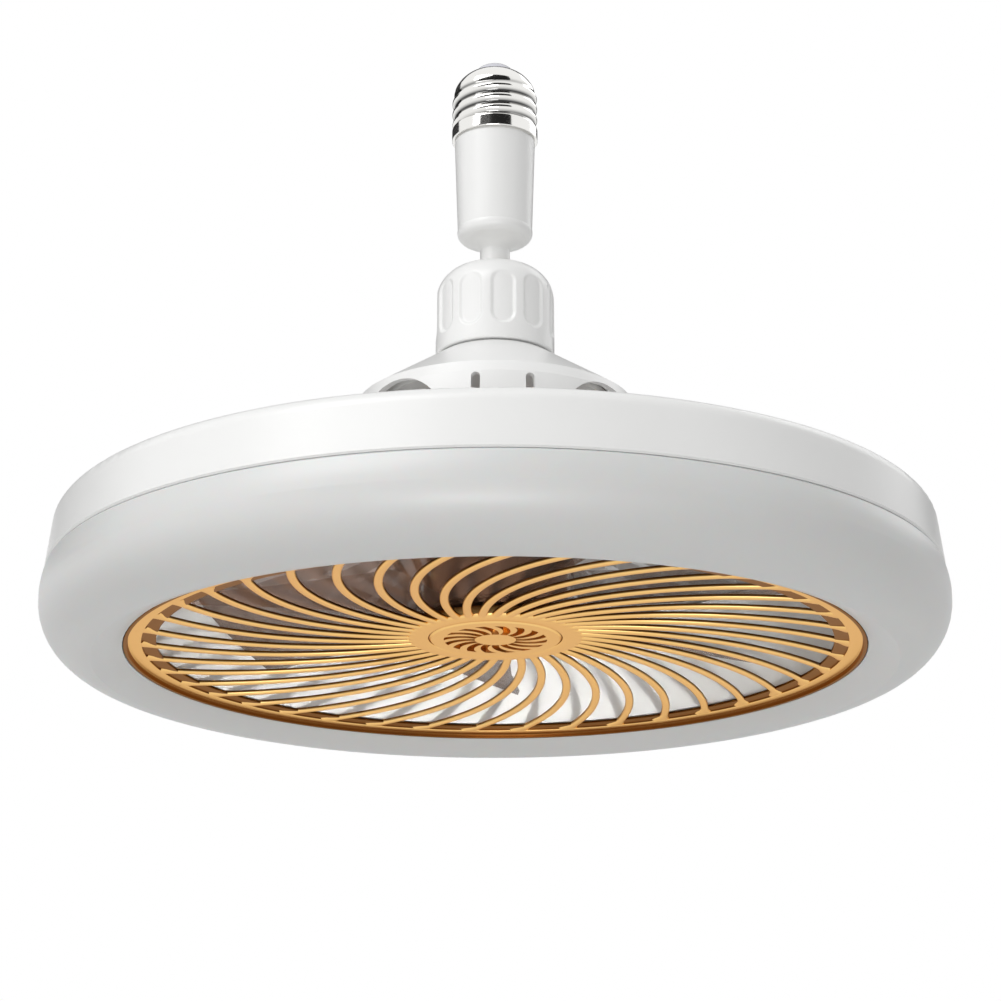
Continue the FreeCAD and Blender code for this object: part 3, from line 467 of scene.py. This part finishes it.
# rib: its middle line is the arc of radius bendR through both its ends; round its section, with the angle side,
# across = width / 2 * squared(cos(side)) and lift = depth / 2 * (1 + squared(sin(side)))
hubEnd = np.array([cage["hubR"] - cage["hubOverlap"], 0.0])
endR = cage["collarR"] + cage["rimOverlap"]
rimEnd = endR * np.array([math.cos(math.radians(cage["sweep"])), math.sin(math.radians(cage["sweep"]))])
chord = rimEnd - hubEnd
chordLength = float(np.hypot(*chord))
bendR = (chordLength ** 2 / 4 + cage["bow"] ** 2) / (2 * cage["bow"])
sideways = np.array([chord[1], -chord[0]]) / chordLength
bendCentre = (hubEnd + rimEnd) / 2 - sideways * (bendR - cage["bow"])
firstAngle = math.atan2(*(hubEnd - bendCentre)[::-1])
swing = 2 * math.asin(chordLength / 2 / bendR)
along = np.concatenate([[0.0], np.linspace(0.0, 1.0, cage["steps"]), [1.0]])[:, None]
closed = np.concatenate([[0.0], np.ones(cage["steps"]), [0.0]])[:, None]
side = fullTurn(cage["sides"])
left = swing * bendR * (1 - along)
width = cage["ribWidth"] * (1 + cage["flare"] * (1 - ease(left, 0.0, cage["flareLength"])) ** 2)
across = closed * width / 2 * squared(np.cos(side))
lift = cage["ribDepth"] / 2 * (1 + closed * squared(np.sin(side)))
bend = firstAngle + swing * along
pathX = bendCentre[0] + (bendR + across) * np.cos(bend)
pathY = bendCentre[1] + (bendR + across) * np.sin(bend)
gone = ((pathX - hubEnd[0]) * chord[0] + (pathY - hubEnd[1]) * chord[1]) / chordLength ** 2
pathZ = cage["hubRise"] + (cage["rim"] - cage["hubRise"]) * gone + lift
spin = (2 * np.pi * np.arange(cage["ribs"]) / cage["ribs"])[:, None, None]
ribGrid = np.stack([pathX * np.cos(spin) - pathY * np.sin(spin), pathX * np.sin(spin) + pathY * np.cos(spin),
                    np.broadcast_to(pathZ, (cage["ribs"],) + pathZ.shape)], axis=-1)

# recess is painted shade: 0 on the faces turned down to the front and on the ribs' backs, and 1 on the walls
# and the ledge, where shade falls; each pair is where it starts and ends: in mm above the rim or the hub, in
# shares of the rib's depth, and in the sine of the angle round the rib
filmAndShade = dict(rim=(0.1, 0.4), lipEdge=0.2, hub=(0.7, 1.4), ribShade=(0.25, 0.6), ribBack=(0.6, 0.9))
rimShade = np.maximum(ease(rimOutline[:, 1], *[cage["rim"] + rise for rise in filmAndShade["rim"]]),
                       rimOutline[:, 0] > lipInR - filmAndShade["lipEdge"])
hubShade = ease(hubOutline[:, 1], *[cage["hubRise"] + rise for rise in filmAndShade["hub"]])
ribShade = ease(lift, *[share * cage["ribDepth"] for share in filmAndShade["ribShade"]])
ribShade = ribShade * (1 - ease(np.sin(side), *filmAndShade["ribBack"]))
recess = np.concatenate([np.repeat(rimShade, cage["rimColumns"]), np.repeat(hubShade, cage["hubColumns"]),
                         np.broadcast_to(ribShade, ribGrid.shape[:3]).ravel()])
cageGrids = [(turnedGrid(rimOutline, cage["rimColumns"]), True),
             (turnedGrid(hubOutline, cage["hubColumns"]), False), (ribGrid, False)]
# the recess attribute carries the painted shade into the gold material
surfacePiece("sweptGrille", [(grid + [0.0, 0.0, cageLow], closedRows) for grid, closedRows in cageGrids],
             "head", "grille", gold, attributes=dict(recess=recess))


# a round tube of radius in mm along a path of x and z; the ring at a bend lies in the plane that halves it
def tubeGrid(path, radius, sides):
    path = np.asarray(path, dtype=float)
    way = np.diff(path, axis=0)
    way = way / np.linalg.norm(way, axis=1)[:, None]
    onward = np.vstack([way, way[-1:]])
    halved = np.vstack([way[:1], way]) + onward
    halved = halved / np.linalg.norm(halved, axis=1)[:, None]
    stretch = 1 / np.sum(halved * onward, axis=1)
    rows = [0, *range(len(path)), len(path) - 1]
    size = radius * np.array([0.0, *np.ones(len(path)), 0.0])[:, None]
    angle = fullTurn(sides)
    aside = size * stretch[rows][:, None] * np.cos(angle)
    x = path[rows, :1] + aside * halved[rows, 1:]
    z = path[rows, 1:] - aside * halved[rows, :1]
    return np.stack([x, size * np.sin(angle), z], axis=-1)[None]


# mains leads: from the contact and the shell down through the ball, split just below it
# so that each half keeps to its own body when the head tilts
leads = dict(radius=0.7, aside=0.95, bend=-23.9, split=-57.65, solder=(-10.75, 11.8), inward=-3.1, drop=4.0,
             sides=16)
leadLow, leadHigh = boxHeights("mains_leads")
dropEnd = leads["solder"][1] - leads["drop"]
# how each lead starts, by the side of the axis on which it goes down
tops = {1: [(0.0, leadHigh), (0.0, dropEnd)], -1: [leads["solder"], (leads["inward"], dropEnd)]}
upperPaths = [[*top, (hand * leads["aside"], leads["bend"]), (hand * leads["aside"], leads["split"])]
              for hand, top in tops.items()]
lowerPaths = [[(hand * leads["aside"], leads["split"]), (hand * leads["aside"], leadLow)] for hand in tops]
for name, paths, body in (("mainsLeadsUpper", upperPaths, "adaptor"), ("mainsLeadsLower", lowerPaths, "head")):
    tubes = [(tubeGrid(path, leads["radius"], leads["sides"]), False) for path in paths]
    surfacePiece(name, tubes, body, "mains_leads", silicone)
print("new pieces made")


# one flat rectangle of the stage
def flatCard(name, corners, material):
    mesh = bpy.data.meshes.new(name)
    mesh.from_pydata(corners, [], [(0, 1, 2, 3)])
    mesh.materials.append(material)
    card = bpy.data.objects.new(name, mesh)
    scene.collection.objects.link(card)
    return card


# pale floor far below the lamp that metal sees as white, and a white world that lights softly; sizes in m
square = ((-1, -1), (1, -1), (1, 1), (-1, 1))  # a card's corners, in order round it
stageLook = dict(floorDrop=0.62, floorHalf=6.0, fill=0.37)
floorMaterial = mouldedMaterial("paleFloor", dict(low="#dcdcdb", high="#e0e0df", cloud=300, grain=6,
                                                  gloss=(0.7, 0.8), bump=0.02))
tree = floorMaterial.node_tree
output = next(node for node in tree.nodes if node.type == "OUTPUT_MATERIAL")
plain = output.inputs["Surface"].links[0].from_socket
ray = addNode(tree, "ShaderNodeLightPath")
bright = addNode(tree, "ShaderNodeEmission", {"Color": (1, 1, 1, 1), "Strength": 1.0})
mix = addNode(tree, "ShaderNodeMixShader", {0: ray.outputs["Is Glossy Ray"], 1: plain, 2: bright.outputs[0]})
tree.links.new(mix.outputs[0], output.inputs["Surface"])
flatCard("floor", [(i * stageLook["floorHalf"], j * stageLook["floorHalf"], -stageLook["floorDrop"])
                   for i, j in square], floorMaterial)

# dark cards that only polished faces see, over the camera and behind: they draw the bands on the plated cap
cards = [dict(name="frontCard", place=(0.0, -1.5, 1.0), half=(1.5, 1.1), grey="#262626"),
         dict(name="backCard", place=(-1.2, 1.3, 0.95), half=(2.4, 0.6), grey="#3a3a3a")]
for card in cards:
    cardX, cardY, cardZ = card["place"]
    halfX, halfZ = card["half"]
    cardMaterial, tree, output = newMaterial(card["name"])[:3]
    grey = addNode(tree, "ShaderNodeEmission", {"Color": hexLinear(card["grey"])})
    tree.links.new(grey.outputs[0], output.inputs["Surface"])
    cardObject = flatCard(card["name"], [(cardX + i * halfX, cardY, cardZ + j * halfZ) for i, j in square],
                          cardMaterial)
    cardObject.visible_camera = False
    cardObject.visible_diffuse = False
    cardObject.visible_shadow = False

world = bpy.data.worlds.new("studio")
scene.world = world
world.use_nodes = True
tree = world.node_tree
tree.nodes.clear()
ray = addNode(tree, "ShaderNodeLightPath")
seen = addNode(tree, "ShaderNodeMath", {0: ray.outputs["Is Camera Ray"], 1: ray.outputs["Is Glossy Ray"]},
               operation="MAXIMUM")
seen = addNode(tree, "ShaderNodeMath", {0: seen.outputs[0], 1: ray.outputs["Is Transmission Ray"]},
               operation="MAXIMUM")
backdrop = addNode(tree, "ShaderNodeBackground", {"Color": (1, 1, 1, 1), "Strength": 1.0})
fill = addNode(tree, "ShaderNodeBackground", {"Color": (1, 1, 1, 1), "Strength": stageLook["fill"]})
mix = addNode(tree, "ShaderNodeMixShader", {0: seen.outputs[0], 1: fill.outputs[0], 2: backdrop.outputs[0]})
addNode(tree, "ShaderNodeOutputWorld", {"Surface": mix.outputs[0]})

# a large soft key above and in front to the left, a weaker one behind, a small one low in front,
# and a narrow one from below that lights only the white chamber and the fan, through the grille
middle = (0, 0, -0.1)
lamps = [dict(name="key", place=(-1.0, -1.25, 1.4), aim=middle, size=(1.4, 1.4), spread=180, power=26.0),
         dict(name="rim", place=(0.8, 0.7, 0.7), aim=middle, size=(0.8, 0.8), spread=180, power=3.0),
         dict(name="low", place=(-0.1, -1.2, -0.5), aim=middle, size=(0.7, 0.2), spread=60, power=0.44),
         dict(name="inner", place=(0.18, -0.83, -0.58), aim=(-0.06, 0.065, -0.131), size=(0.3, 0.2), spread=10,
              power=0.22, only=("led_tray", "driver_lid", "fan"))]
for lamp in lamps:
    light = bpy.data.lights.new(lamp["name"], "AREA")
    light.shape = "RECTANGLE"
    light.size, light.size_y = lamp["size"]
    light.spread = math.radians(lamp["spread"])
    light.energy = lamp["power"]
    thing = bpy.data.objects.new(lamp["name"], light)
    thing.location = lamp["place"]
    aim = np.subtract(lamp["aim"], lamp["place"])
    flat = math.hypot(aim[0], aim[1])
    thing.rotation_euler = (math.atan2(flat, -aim[2]), 0.0, math.atan2(-aim[0], aim[1]))
    if "only" in lamp:
        lit = bpy.data.collections.new("chamber")
        for name in lamp["only"]:
            lit.objects.link(nodes[name])
        thing.light_linking.receiver_collection = lit
        thing.visible_glossy = False
    scene.collection.objects.link(thing)
print("stage and lamps set")
